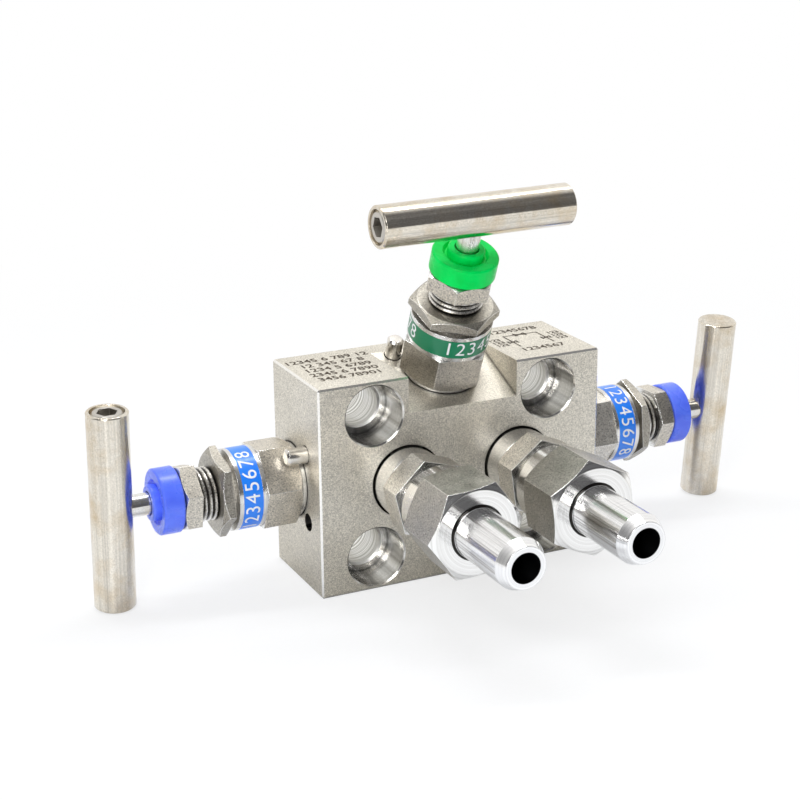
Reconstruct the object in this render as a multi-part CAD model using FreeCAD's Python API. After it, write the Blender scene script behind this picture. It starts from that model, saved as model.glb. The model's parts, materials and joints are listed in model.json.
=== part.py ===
import FreeCAD, Part
import math
import os

# Three-valve instrument manifold. Millimetres, +Z up. The origin is the centre of the block's
# bottom face, the process side faces -Y and the transmitter side faces +Y.

# Fits
thread_clearance = 0.05
running_clearance = 0.1
seat_gap = 0.1
edge_break = 0.4
overshoot = 1.0
hex_chamfer_angle = 60.0

# Block
bolt_pitch_x = 54.0
bolt_pitch_z = 41.3
bolt_hole_d = 12.0
bolt_head_bore_d = 17.0
bolt_head_bore_depth = 11.0
bolt_hole_chamfer = 0.6
block_rim = 1.1
block_side_margin = 16.5
block_depth = 32.5
block_chamfer = 0.5
notch_width = 33.6
notch_front_depth = 10.3
notch_slope = 22.5

# Valve places
isolate_axis_y = 3.3
isolate_axis_z = 29.2
equalize_foot_y = -2.0

# Passages
process_bore_d = 8.0
process_pitch = 34.7
process_axis_z = 30.5
instrument_bore_d = 7.2
instrument_mouth_d = 8.0
instrument_mouth_depth = 4.5
instrument_taper_length = 1.5
equalize_drilling_d = 3.0
equalize_seat_length = 7.5
seat_bore_d = 5.0
seal_ring_od = 24.0
seal_ring_id = 18.0
seal_ring_thickness = 2.6

# Bonnet
bonnet_thread_d = 18.0
bonnet_thread_length = 11.0
bonnet_gasket_thickness = 1.0
bonnet_collar_d = 21.0
bonnet_collar_length = 1.2
bonnet_recess_depth = 1.0
bonnet_recess_gap = 0.25
bonnet_hex_af = 22.0
bonnet_hex_length = 10.8
neck_wall = 2.35
neck_length = 9.4
label_ring_wall = 2.0
label_ring_length = 8.0
label_film_thickness = 0.12
label_film_margin = 1.2

# Gland and its lock nut
gland_thread_d = 14.0
gland_nose_length = 1.5
gland_thread_exposed = 5.1
gland_hex_af = 17.0
gland_hex_length = 5.0
lock_nut_af = 22.0
lock_nut_thickness = 3.0
packing_d = 12.0
packing_ring_height = 2.2
packing_ring_count = 3
packing_washer_thickness = 1.0

# Dust cap
cap_d = 18.4
cap_height = 5.9
cap_rim_width = 2.8
cap_dish_depth = 1.0
cap_collar_rise = 1.8
cap_collar_wall = 1.7
cap_stem_gap = 0.3
cap_top_thickness = 2.0
cap_spigot_wall = 2.2

# Stem, needle tip and travel
stem_d = 6.2
stem_thread_d = 8.0
stem_pitch = 1.0
turns_to_close = 2.75
bar_gap_closed = 1.8
back_seat_depth = 3.0
back_seat_web = 1.5
valve_chamber_d = 10.0
valve_chamber_length = 8.6
tip_cone_angle = 60.0
tip_nose_d = 2.4
tip_shank_length = 5.6
tip_stud_d = 3.0
tip_stud_length = 4.0

# T-bar handle
bar_d = 11.5
bar_length = 57.0
bar_end_chamfer = 0.3
bar_screw_d = 9.4
bar_screw_chamfer = 0.85
bar_screw_recess = 0.2
bar_socket_af = 5.0
bar_socket_depth = 4.5
stem_past_bar_axis = 3.5

# Union
port_thread_depth = 12.5
port_mouth_gap = 0.4
port_mouth_depth = 1.2
union_collar_d = 20.2
union_collar_length = 7.5
union_hex_af = 20.6
union_hex_length = 8.8
union_neck_d = 16.6
union_neck_length = 2.9
union_thread_d = 18.0
union_thread_length = 11.0
union_gasket_thickness = 1.0
nipple_flange_length = 4.4
nipple_d = 14.0
nipple_shank_d = 15.0
nipple_shank_proud = 0.2
nipple_stick_out = 25.0
nipple_bevel_length = 3.2
nipple_bevel_depth = 1.3
nut_hex_af = 24.0
nut_skirt_d = 22.4
nut_skirt_length = 5.8
nut_lip_length = 6.0
nut_mouth_clearance = 0.15

# Lock pins beside the bonnets
pin_d = 4.7
pin_stick_out = 6.0
pin_depth = 5.0
pin_hole_gap = 0.2
pin_hex_gap = 0.85
pin_dome = 0.6

# Hexagon corner angles, pin angles and T-bar angles as the valves were tightened, in degrees
# about each valve's own outward axis
LEFT_CLOCKS = {"bonnet": 6.4, "lock_nut": 43.4, "gland": 17.7, "pin": 226.0, "spare": 138.0, "bar": 266.2}
RIGHT_CLOCKS = {"bonnet": 8.1, "lock_nut": 23.0, "gland": -2.7, "pin": 42.0, "spare": 318.0, "bar": -84.2}
TOP_CLOCKS = {"bonnet": 54.7, "lock_nut": 34.8, "gland": -2.2, "pin": 139.0, "bar": 180.9}
UNION_CLOCKS = {"left": {"connector": 43.5, "nut": 5.8}, "right": {"connector": 38.0, "nut": 35.7}}

# Derived block sizes
block_width = bolt_pitch_x + 2 * block_side_margin
block_height = bolt_pitch_z + bolt_head_bore_d + 2 * block_rim
block_mid_z = block_height / 2
half_width = block_width / 2
half_depth = block_depth / 2
process_x = process_pitch / 2

# Derived heights of a valve, along its axis from the face that it stands on
bonnet_hex_top = bonnet_collar_length + bonnet_hex_length
bonnet_top = bonnet_hex_top + neck_length
lock_nut_top = bonnet_top + lock_nut_thickness
gland_hex_bottom = lock_nut_top + gland_thread_exposed
gland_hex_top = gland_hex_bottom + gland_hex_length
cap_top = gland_hex_top + cap_height
cap_collar_top = cap_top + cap_collar_rise
stroke = turns_to_close * stem_pitch
bar_axis_height = cap_collar_top + bar_gap_closed + stroke + bar_d / 2
back_seat_height = -back_seat_depth
packing_floor = back_seat_height + back_seat_web + (stem_thread_d - stem_d) / 2
packing_top = packing_floor + 2 * packing_washer_thickness + packing_ring_count * packing_ring_height
gland_thread_bottom = packing_top + gland_nose_length
cavity_floor = -bonnet_thread_length - bonnet_gasket_thickness
seat_height = cavity_floor - valve_chamber_length

# Derived radii of a valve
stem_r = stem_d / 2
stem_bore_r = stem_r + running_clearance
gland_thread_r = gland_thread_d / 2
gland_bore_r = gland_thread_r + thread_clearance
neck_r = gland_bore_r + neck_wall
label_ring_r = neck_r + thread_clearance + label_ring_wall
pin_radius = bonnet_hex_af / 2 + pin_hex_gap + pin_d / 2
packing_r = packing_d / 2
spigot_r = stem_bore_r + cap_spigot_wall
bonnet_thread_r = bonnet_thread_d / 2

# Derived needle tip heights with the valve open, as it is drawn
tip_half_angle = math.radians(tip_cone_angle / 2)
tip_cone_top = seat_height + seat_gap + stroke + (stem_r - seat_bore_d / 2) / math.tan(tip_half_angle)
tip_nose_height = tip_cone_top - (stem_r - tip_nose_d / 2) / math.tan(tip_half_angle)
tip_top = tip_cone_top + tip_shank_length
stem_bottom = tip_top + seat_gap

# Derived union lengths, from the block's front face
union_hex_top = union_collar_length + union_hex_length
nut_back = union_hex_top + union_neck_length
connector_front = nut_back + union_thread_length
flange_back = connector_front + union_gasket_thickness
flange_front = flange_back + nipple_flange_length
nut_front = flange_front + nut_lip_length
nut_hex_back = nut_back + nut_skirt_length
nipple_front = nut_front + nipple_stick_out

ORIGIN = FreeCAD.Vector(0, 0, 0)
X_AXIS = FreeCAD.Vector(1, 0, 0)
Y_AXIS = FreeCAD.Vector(0, 1, 0)
Z_AXIS = FreeCAD.Vector(0, 0, 1)


def turned(profile):
    """Solid of revolution about local Z, from (radius, height) points."""
    points = [FreeCAD.Vector(radius, 0, height) for radius, height in profile]
    face = Part.Face(Part.makePolygon(points + points[:1]))
    return face.revolve(ORIGIN, Z_AXIS, 360)


def ring(outer_r, inner_r, bottom, top, chamfer=0.0):
    """Washer-shaped solid with an optional chamfer on both outer edges."""
    profile = [(inner_r, bottom), (outer_r - chamfer, bottom)]
    if chamfer:
        profile += [(outer_r, bottom + chamfer), (outer_r, top - chamfer)]
        profile += [(outer_r - chamfer, top)]
    else:
        profile += [(outer_r, top)]
    return turned(profile + [(inner_r, top)])


def rod(radius, bottom, top):
    """Plain round bar along local Z."""
    return Part.makeCylinder(radius, top - bottom, FreeCAD.Vector(0, 0, bottom), Z_AXIS)


def drilling(start, end, diameter):
    """Round hole cutter between two points."""
    way = end - start
    return Part.makeCylinder(diameter / 2, way.Length, start, way)


def polar(radius, angle, height):
    """Point on a circle about local Z."""
    turn = math.radians(angle)
    return FreeCAD.Vector(radius * math.cos(turn), radius * math.sin(turn), height)


def hexagon(across_flats, bottom, top, clock, back=False, front=False):
    """Hexagonal prism. Clock is a corner's angle, back and front ask for a turned chamfer."""
    corner_r = across_flats / math.sqrt(3)
    corners = [polar(corner_r, clock + 60 * index, bottom) for index in range(7)]
    prism = Part.Face(Part.makePolygon(corners)).extrude(FreeCAD.Vector(0, 0, top - bottom))
    face_r = across_flats / 2 - edge_break
    outer_r = corner_r + overshoot
    run = (outer_r - face_r) / math.tan(math.radians(hex_chamfer_angle))
    profile = [(0, bottom)]
    profile += [(face_r, bottom), (outer_r, bottom + run)] if back else [(outer_r, bottom)]
    profile += [(outer_r, top - run), (face_r, top)] if front else [(outer_r, top)]
    return prism.common(turned(profile + [(0, top)]))


def placement(foot, outward, reference):
    """Placement that puts local Z on the outward axis and local X on the reference."""
    rotation = FreeCAD.Rotation(reference, outward.cross(reference), outward, "ZXY")
    return FreeCAD.Placement(foot, rotation)


def placed(shape, frame):
    """Shape moved from a local frame into the part's frame."""
    moved = shape.copy()
    moved.Placement = frame.multiply(moved.Placement)
    return moved


def notch_floor_z(y):
    """Height of the notch's sloping floor at a depth y."""
    rise = (y + half_depth) * math.tan(math.radians(notch_slope))
    return block_height - notch_front_depth + rise


def valve_frames():
    """Foot, outward axis, local X direction and clocks of each valve."""
    slope = math.radians(notch_slope)
    lean = FreeCAD.Vector(0, -math.sin(slope), math.cos(slope))
    top_foot = FreeCAD.Vector(0, equalize_foot_y, notch_floor_z(equalize_foot_y))
    left_foot = FreeCAD.Vector(-half_width, isolate_axis_y, isolate_axis_z)
    right_foot = FreeCAD.Vector(half_width, isolate_axis_y, isolate_axis_z)
    return {
        "isolate_left": (placement(left_foot, -X_AXIS, Y_AXIS), LEFT_CLOCKS),
        "isolate_right": (placement(right_foot, X_AXIS, Y_AXIS), RIGHT_CLOCKS),
        "equalize": (placement(top_foot, lean, X_AXIS), TOP_CLOCKS),
    }


def union_frames():
    """Placement and clocks of each process union."""
    frames = {}
    for side, x in (("left", -process_x), ("right", process_x)):
        foot = FreeCAD.Vector(x, -half_depth, process_axis_z)
        frames[side] = (placement(foot, -Y_AXIS, X_AXIS), UNION_CLOCKS[side])
    return frames


def valve_cavity(seat_end):
    """Cutter for a bonnet's threaded cavity, the chamber below it and its seat bore."""
    cavity_r = bonnet_thread_r + thread_clearance
    chamber_r = valve_chamber_d / 2
    seat_r = seat_bore_d / 2
    recess_r = bonnet_collar_d / 2 + bonnet_recess_gap
    return turned([(0, overshoot), (recess_r, overshoot), (recess_r, -bonnet_recess_depth),
                   (cavity_r, -bonnet_recess_depth), (cavity_r, cavity_floor),
                   (chamber_r, cavity_floor), (chamber_r, seat_height), (seat_r, seat_height),
                   (seat_r, seat_end), (0, seat_end)])


def pin_hole(angle):
    """Cutter for a small blind hole beside a bonnet."""
    foot = polar(pin_radius, angle, -pin_depth)
    return Part.makeCylinder(pin_d / 2 + pin_hole_gap, pin_depth + overshoot, foot, Z_AXIS)


def notched_block():
    """Block with its sloping notch and broken outer edges."""
    corner = FreeCAD.Vector(-half_width, -half_depth, 0)
    block = Part.makeBox(block_width, block_depth, block_height, corner)
    block = block.makeChamfer(block_chamfer, block.Edges)
    front = -half_depth - overshoot
    back = half_depth
    side = [(front, notch_floor_z(front)), (back, notch_floor_z(back)), (front, notch_floor_z(back))]
    points = [FreeCAD.Vector(-notch_width / 2, y, z) for y, z in side]
    face = Part.Face(Part.makePolygon(points + points[:1]))
    return block.cut(face.extrude(FreeCAD.Vector(notch_width, 0, 0)))


def bolt_holes():
    """Four counterbored through holes for the transmitter's bolts."""
    cutters = []
    head_r = bolt_head_bore_d / 2
    hole_r = bolt_hole_d / 2
    for x in (-bolt_pitch_x / 2, bolt_pitch_x / 2):
        for z in (block_mid_z - bolt_pitch_z / 2, block_mid_z + bolt_pitch_z / 2):
            cutter = turned([(0, overshoot), (head_r + edge_break + overshoot, overshoot),
                             (head_r, -edge_break), (head_r, -bolt_head_bore_depth),
                             (hole_r + bolt_hole_chamfer, -bolt_head_bore_depth),
                             (hole_r, -bolt_head_bore_depth - bolt_hole_chamfer),
                             (hole_r, -block_depth - overshoot), (0, -block_depth - overshoot)])
            cutter.Placement = placement(FreeCAD.Vector(x, -half_depth, z), -Y_AXIS, X_AXIS)
            cutters.append(cutter)
    return cutters


def process_ports():
    """Threaded union ports with the bores that run on to the isolating seats."""
    port_r = union_collar_d / 2 + thread_clearance
    bore_r = process_bore_d / 2
    bore_end = -(half_depth + isolate_axis_y + seat_bore_d / 2 + edge_break)
    cutters = []
    for frame, _ in union_frames().values():
        cutter = turned([(0, overshoot), (port_r + port_mouth_gap, overshoot),
                         (port_r + port_mouth_gap, 0), (port_r, -port_mouth_depth),
                         (port_r, -port_thread_depth), (bore_r, -port_thread_depth),
                         (bore_r, bore_end), (0, bore_end)])
        cutter.Placement = frame
        cutters.append(cutter)
    return cutters


def instrument_ports():
    """Bores from the transmitter face to the isolating chambers, tapered, with seal grooves."""
    cutters = []
    groove_depth = seal_ring_thickness + seat_gap
    mouth_r = instrument_mouth_d / 2
    bore_r = instrument_bore_d / 2
    taper_end = -instrument_mouth_depth - instrument_taper_length
    bore_end = isolate_axis_y - half_depth
    for x in (-bolt_pitch_x / 2, bolt_pitch_x / 2):
        face_centre = FreeCAD.Vector(x, half_depth, block_mid_z)
        bore = turned([(0, overshoot), (mouth_r, overshoot), (mouth_r, -instrument_mouth_depth),
                       (bore_r, taper_end), (bore_r, bore_end), (0, bore_end)])
        bore.Placement = placement(face_centre, Y_AXIS, X_AXIS)
        cutters.append(bore)
        groove = ring(seal_ring_od / 2 + thread_clearance, seal_ring_id / 2 - thread_clearance,
                      -groove_depth, overshoot)
        groove.Placement = placement(face_centre, Y_AXIS, X_AXIS)
        cutters.append(groove)
    return cutters


def equalize_drillings(frame):
    """Slanted drillings from the instrument ports to the equalising chamber and its seat."""
    chamber = frame.multVec(FreeCAD.Vector(0, 0, seat_height + valve_chamber_length / 2))
    seat = frame.multVec(FreeCAD.Vector(0, 0, seat_height - equalize_seat_length))
    mouth_y = half_depth - seal_ring_thickness
    left_mouth = FreeCAD.Vector(-bolt_pitch_x / 2, mouth_y, block_mid_z)
    right_mouth = FreeCAD.Vector(bolt_pitch_x / 2, mouth_y, block_mid_z)
    return [drilling(left_mouth, chamber, equalize_drilling_d),
            drilling(right_mouth, seat, equalize_drilling_d)]


def manifold_body():
    """Block with every cavity, port, bolt hole and drilling."""
    cutters = bolt_holes() + process_ports() + instrument_ports()
    isolate_seat_end = process_x - half_width
    equalize_seat_end = seat_height - equalize_seat_length
    for name, (frame, clocks) in valve_frames().items():
        valve_cutters = [pin_hole(clocks["pin"])]
        if name == "equalize":
            valve_cutters.append(valve_cavity(equalize_seat_end))
            cutters += equalize_drillings(frame)
        else:
            valve_cutters.append(valve_cavity(isolate_seat_end))
            valve_cutters.append(pin_hole(clocks["spare"]))
        cutters += [placed(cutter, frame) for cutter in valve_cutters]
    return notched_block().cut(cutters)


def bonnet(clocks):
    """Bonnet: threaded foot, collar, hexagon and neck, bored for stem, packing and gland."""
    foot = ring(bonnet_thread_r, 0, -bonnet_thread_length, 0, edge_break)
    collar = ring(bonnet_collar_d / 2, 0, -bonnet_recess_depth, bonnet_collar_length)
    hexagonal = hexagon(bonnet_hex_af, bonnet_collar_length, bonnet_hex_top, clocks["bonnet"], back=True)
    neck = rod(neck_r, bonnet_hex_top, bonnet_top)
    outside = foot.fuse([collar, hexagonal, neck]).removeSplitter()
    thread_r = stem_thread_d / 2 + running_clearance
    shoulder = back_seat_height + seat_gap
    foot_end = -bonnet_thread_length - overshoot
    bore = turned([(0, foot_end), (thread_r, foot_end),
                   (thread_r, shoulder), (stem_bore_r, shoulder + thread_r - stem_bore_r),
                   (stem_bore_r, packing_floor), (packing_r + thread_clearance, packing_floor),
                   (packing_r + thread_clearance, gland_thread_bottom),
                   (gland_bore_r, gland_thread_bottom), (gland_bore_r, bonnet_top + overshoot),
                   (0, bonnet_top + overshoot)])
    return outside.cut(bore)


def label_ring():
    """Metal ring on the bonnet's neck, with a low recess for the coloured film."""
    bottom = bonnet_hex_top
    top = bottom + label_ring_length
    low = bottom + label_film_margin
    high = top - label_film_margin
    floor_r = label_ring_r - label_film_thickness
    return turned([(neck_r + thread_clearance, bottom), (label_ring_r, bottom), (label_ring_r, low),
                   (floor_r, low), (floor_r, high), (label_ring_r, high), (label_ring_r, top),
                   (neck_r + thread_clearance, top)])


def label_film():
    """Coloured film in the label ring's recess."""
    low = bonnet_hex_top + label_film_margin
    high = bonnet_hex_top + label_ring_length - label_film_margin
    return ring(label_ring_r, label_ring_r - label_film_thickness, low, high)


def lock_nut(clocks):
    """Thin nut that locks the gland's thread against the bonnet."""
    blank = hexagon(lock_nut_af, bonnet_top, lock_nut_top, clocks["lock_nut"], front=True)
    return blank.cut(rod(gland_bore_r, bonnet_top - overshoot, lock_nut_top + overshoot))


def gland(clocks):
    """Gland: nose on the packing, thread, hexagon head and the spigot under the cap."""
    nose_bottom = packing_top
    thread = turned([(0, nose_bottom), (packing_r - running_clearance, nose_bottom),
                     (packing_r - running_clearance, gland_thread_bottom + seat_gap),
                     (gland_thread_r, gland_thread_bottom + seat_gap),
                     (gland_thread_r, gland_hex_bottom), (0, gland_hex_bottom)])
    head = hexagon(gland_hex_af, gland_hex_bottom, gland_hex_top, clocks["gland"], front=True)
    spigot = rod(spigot_r, gland_hex_top, cap_top - cap_top_thickness)
    whole = thread.fuse([head, spigot]).removeSplitter()
    return whole.cut(rod(stem_bore_r, nose_bottom - overshoot, cap_top))


def dust_cap():
    """Round plastic cap with a groove round the raised collar that hugs the stem."""
    outer_r = cap_d / 2
    fit_r = spigot_r + thread_clearance
    bore_r = stem_r + cap_stem_gap
    collar_r = bore_r + cap_collar_wall
    rim_r = outer_r - cap_rim_width
    dish = cap_top - cap_dish_depth
    inner_top = cap_top - cap_top_thickness
    return turned([(fit_r, gland_hex_top), (outer_r - edge_break, gland_hex_top),
                   (outer_r, gland_hex_top + edge_break), (outer_r, cap_top - edge_break),
                   (outer_r - edge_break, cap_top), (rim_r, cap_top),
                   ((rim_r + collar_r) / 2, dish), (collar_r, dish),
                   (collar_r, cap_collar_top - edge_break), (collar_r - edge_break, cap_collar_top),
                   (bore_r, cap_collar_top), (bore_r, inner_top), (fit_r, inner_top)])


def packing():
    """Stack of separate V-shaped packing rings."""
    rings = []
    inner = stem_r + running_clearance
    slant = packing_ring_height / 4
    for index in range(packing_ring_count):
        low = packing_floor + packing_washer_thickness + index * packing_ring_height
        high = low + packing_ring_height - running_clearance
        middle = (inner + packing_r) / 2
        rings.append(turned([(inner, low), (middle, low + slant), (packing_r, low),
                             (packing_r, high - slant), (middle, high), (inner, high - slant)]))
    return Part.makeCompound(rings)


def packing_washers():
    """Flat washers below and above the packing."""
    low = ring(packing_r, stem_bore_r, packing_floor, packing_floor + packing_washer_thickness)
    high = ring(packing_r, stem_bore_r, packing_top - packing_washer_thickness, packing_top)
    return Part.makeCompound([low, high])


def bonnet_gasket():
    """Metal gasket between the bonnet's foot and the cavity's floor."""
    return ring(bonnet_thread_r, valve_chamber_d / 2, cavity_floor, -bonnet_thread_length)


def needle_tip():
    """Non-rotating needle with a stud that the stem's end turns about."""
    return turned([(0, tip_nose_height), (tip_nose_d / 2, tip_nose_height), (stem_r, tip_cone_top),
                   (stem_r, tip_top), (tip_stud_d / 2, tip_top),
                   (tip_stud_d / 2, tip_top + tip_stud_length), (0, tip_top + tip_stud_length)])


def stem():
    """Stem: threaded lower end with the back-seat shoulder, then the plain shank."""
    thread_r = stem_thread_d / 2
    socket_r = tip_stud_d / 2 + running_clearance
    socket_top = tip_top + tip_stud_length + seat_gap
    top = bar_axis_height + stem_past_bar_axis
    return turned([(socket_r, stem_bottom), (thread_r, stem_bottom), (thread_r, back_seat_height),
                   (stem_r, back_seat_height + thread_r - stem_r), (stem_r, top - edge_break),
                   (stem_r - edge_break, top), (0, top), (0, socket_top), (socket_r, socket_top)])


def handle_bar(clocks):
    """Round T-bar with a hole for the stem and a tapped hole from one end."""
    half = bar_length / 2
    bar = ring(bar_d / 2, 0, -half, half, bar_end_chamfer)
    screw_hole = rod(bar_screw_d / 2 + thread_clearance, 0, half + overshoot)
    stem_hole_r = stem_r + thread_clearance
    stem_end = stem_past_bar_axis + seat_gap
    bar = bar.cut(screw_hole)
    bar.Placement = bar_placement(clocks)
    stem_hole = rod(stem_hole_r, bar_axis_height - bar_d, bar_axis_height + stem_end)
    return bar.cut(stem_hole)


def handle_screw(clocks):
    """Long socket set screw that clamps the stem inside the bar."""
    start = stem_r + thread_clearance
    end = bar_length / 2 - bar_screw_recess
    screw = ring(bar_screw_d / 2, 0, start, end, bar_screw_chamfer)
    socket = hexagon(bar_socket_af, end - bar_socket_depth, end + overshoot, 0.0)
    screw = screw.cut(socket)
    screw.Placement = bar_placement(clocks)
    return screw


def bar_placement(clocks):
    """Placement that lays local Z along the T-bar."""
    along = polar(1, clocks["bar"], 0)
    return placement(FreeCAD.Vector(0, 0, bar_axis_height), along, Z_AXIS)


def lock_pin(clocks):
    """Round-ended pin beside a bonnet."""
    pin_r = pin_d / 2
    end = pin_stick_out
    pin = turned([(0, -pin_depth), (pin_r, -pin_depth), (pin_r, end - pin_dome),
                  (pin_r - pin_dome, end), (0, end)])
    pin.translate(polar(pin_radius, clocks["pin"], 0))
    return pin


def union_connector(clocks):
    """Connector: threaded foot, collar, hexagon, neck, nut thread and through bore."""
    foot_r = union_collar_d / 2
    foot = ring(foot_r, 0, -port_thread_depth + seat_gap, union_collar_length, edge_break)
    hexagonal = hexagon(union_hex_af, union_collar_length, union_hex_top, clocks["connector"], back=True)
    neck = rod(union_neck_d / 2, union_hex_top, nut_back)
    thread = rod(union_thread_d / 2, nut_back, connector_front)
    whole = foot.fuse([hexagonal, neck, thread]).removeSplitter()
    return whole.cut(rod(process_bore_d / 2, -port_thread_depth - overshoot,
                         connector_front + overshoot))


def union_nut(clocks):
    """Union nut: round skirt, hexagon, tapped bore and a lip that holds the nipple."""
    tapped_r = union_thread_d / 2 + thread_clearance
    lip_r = nipple_shank_d / 2 + nut_mouth_clearance
    skirt_r = nut_skirt_d / 2
    skirt = turned([(0, nut_back), (skirt_r - edge_break, nut_back), (skirt_r, nut_back + edge_break),
                    (skirt_r, nut_hex_back), (0, nut_hex_back)])
    hexagonal = hexagon(nut_hex_af, nut_hex_back, nut_front, clocks["nut"], back=True, front=True)
    bore = turned([(0, nut_back - overshoot), (tapped_r, nut_back - overshoot),
                   (tapped_r, flange_front), (lip_r, flange_front),
                   (lip_r, nut_front + overshoot), (0, nut_front + overshoot)])
    return skirt.fuse(hexagonal).removeSplitter().cut(bore)


def weld_nipple():
    """Weld nipple: flange and shank inside the nut, tube and bevelled end."""
    flange_r = union_thread_d / 2 - running_clearance
    shank_r = nipple_shank_d / 2
    shank_end = nut_front + nipple_shank_proud
    tube_r = nipple_d / 2
    bore_r = process_bore_d / 2
    bevel_start = nipple_front - nipple_bevel_length
    return turned([(bore_r, flange_back), (flange_r, flange_back), (flange_r, flange_front),
                   (shank_r, flange_front), (shank_r, shank_end),
                   (tube_r, shank_end + shank_r - tube_r), (tube_r, bevel_start),
                   (tube_r - nipple_bevel_depth, nipple_front), (bore_r, nipple_front)])


def union_gasket():
    """Flat gasket between the connector and the nipple."""
    outer = union_thread_d / 2 - running_clearance
    return ring(outer, process_bore_d / 2, connector_front, flange_back)


def seal_rings():
    """Seal rings in the grooves of the transmitter face."""
    rings = []
    for x in (-bolt_pitch_x / 2, bolt_pitch_x / 2):
        seal = ring(seal_ring_od / 2, seal_ring_id / 2, -seal_ring_thickness - seat_gap, -seat_gap)
        seal.Placement = placement(FreeCAD.Vector(x, half_depth, block_mid_z), Y_AXIS, X_AXIS)
        rings.append(seal)
    return Part.makeCompound(rings)


def valve_parts(clocks):
    """Pieces of one valve in its own frame."""
    return {
        "bonnet": bonnet(clocks),
        "label_ring": label_ring(),
        "label_film": label_film(),
        "lock_nut": lock_nut(clocks),
        "gland_nut": gland(clocks),
        "dust_cap": dust_cap(),
        "packing": packing(),
        "packing_washers": packing_washers(),
        "bonnet_gasket": bonnet_gasket(),
        "needle_tip": needle_tip(),
        "stem": stem(),
        "handle_bar": handle_bar(clocks),
        "handle_screw": handle_screw(clocks),
    }


def union_parts(clocks):
    """Pieces of one process union in its own frame."""
    return {
        "union_connector": union_connector(clocks),
        "union_nut": union_nut(clocks),
        "weld_nipple": weld_nipple(),
        "union_gasket": union_gasket(),
    }


def build():
    """All pieces by node name."""
    pieces = {"manifold_body": manifold_body()}
    pins = []
    for valve, (frame, clocks) in valve_frames().items():
        for name, shape in valve_parts(clocks).items():
            pieces[valve + "_" + name] = placed(shape, frame)
        pins.append(placed(lock_pin(clocks), frame))
    pieces["bonnet_lock_pins"] = Part.makeCompound(pins)
    for side, (frame, clocks) in union_frames().items():
        for name, shape in union_parts(clocks).items():
            pieces[name + "_" + side] = placed(shape, frame)
    pieces["instrument_seals"] = seal_rings()
    return pieces


os.makedirs("parts", exist_ok=True)
for node, piece in build().items():
    piece.exportStep("parts/" + node + ".step")
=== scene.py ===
import json
import math

import bmesh
import bpy
from mathutils import Matrix, Vector


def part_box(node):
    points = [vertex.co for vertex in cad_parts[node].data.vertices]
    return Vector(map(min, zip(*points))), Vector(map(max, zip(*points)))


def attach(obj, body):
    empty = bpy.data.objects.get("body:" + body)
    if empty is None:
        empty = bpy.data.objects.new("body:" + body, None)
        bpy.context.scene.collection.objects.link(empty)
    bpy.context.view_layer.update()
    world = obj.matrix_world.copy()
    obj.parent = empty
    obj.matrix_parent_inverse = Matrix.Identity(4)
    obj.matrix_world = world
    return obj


# Looks of a three-valve instrument manifold. Metres, in the frame of the CAD model: the origin is
# the centre of the block's bottom face, the process side faces -Y and +Z is up.

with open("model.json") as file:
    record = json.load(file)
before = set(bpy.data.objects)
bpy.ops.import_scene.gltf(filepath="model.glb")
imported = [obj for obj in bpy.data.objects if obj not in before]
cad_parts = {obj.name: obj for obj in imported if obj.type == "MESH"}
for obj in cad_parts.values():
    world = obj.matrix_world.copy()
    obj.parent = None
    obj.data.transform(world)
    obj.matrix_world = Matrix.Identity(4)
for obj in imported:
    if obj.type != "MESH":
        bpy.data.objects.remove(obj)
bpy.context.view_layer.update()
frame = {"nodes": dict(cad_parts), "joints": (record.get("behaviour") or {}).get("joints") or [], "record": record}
nodes = frame["nodes"]
joints = {joint["name"]: joint for joint in frame["joints"]}

MM = 0.001
VALVES = ("isolate_left", "isolate_right", "equalize")
VALVE_COLOURS = {"isolate_left": "blue", "isolate_right": "blue", "equalize": "green"}
SIDES = ("left", "right")
PROCESS_WAY = Vector((0, -1, 0))

# Camera, as in the photograph
CAMERA_AZIMUTH = -25.378
CAMERA_ELEVATION = 18.413
CAMERA_ROLL = -0.536
CAMERA_DISTANCE = 0.5009
CAMERA_TARGET = Vector((-0.011684, 0.0, 0.048389))
CAMERA_NEAREST = 0.01
FOCAL_PIXELS = 1775.6
IMAGE_PIXELS = 800
SENSOR_WIDTH = 36.0

# Lamps: place, width and height, and power in watts
LAMP_TARGET = Vector((0, 0, 0.03))
LAMPS = {
    "key_light": ((-0.45, -0.55, 0.75), (0.50, 0.50), 2.8),
    "strip_light": ((-0.30, -0.39, 0.20), (0.05, 0.42), 0.75),
    "top_light": ((0.05, 0.16, 0.75), (0.6, 0.08), 2.6),
}

# Room on the camera's side: its middle direction, how softly it begins, its brightness by the
# height of the gaze, and its touch of blue. The rest of the room is nearly white.
ROOM_AZIMUTH = -14.0
ROOM_BEGIN = (-0.10, 0.15)
ROOM_SHADES = ((0.0, 0.10), (0.6, 0.13), (0.88, 0.17), (0.97, 0.45), (1.0, 0.9))
ROOM_BLUE = 1.04
REST_OF_ROOM = (1.0, 0.99, 0.97)

# Floor: its size, its paper, and how its own whiteness grows with the distance from the origin,
# as two distances and two shares, for the camera and for mirrors
FLOOR_SIZE = 3.0
PAPER_TONES = ((0.84, 0.86, 0.89), (0.87, 0.89, 0.92))
SEEN_WHITE = (0.09, 0.40, 0.74, 1.0)
MIRRORED_WHITE = (0.07, 0.34, 0.14, 1.0)

# Tones of the block's faces, each pair from dark to light. The foot's tone is painted shade that
# darkens the others towards the bottom and is gone at this share of the block's height.
BLOCK_TONES = ((0.72, 0.685, 0.61), (0.83, 0.795, 0.72))
BLOCK_BLOTCH = (0.70, 0.67, 0.61)
BLOCK_FOOT_SHADE = (0.84, 0.83, 0.805)
BLOCK_FOOT_SHARE = 0.6
BLOCK_SPECKLES = ((0.52, 0.515, 0.50), (1.26, 1.255, 1.24))
BLOCK_PIT = (0.50, 0.48, 0.46)
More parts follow.
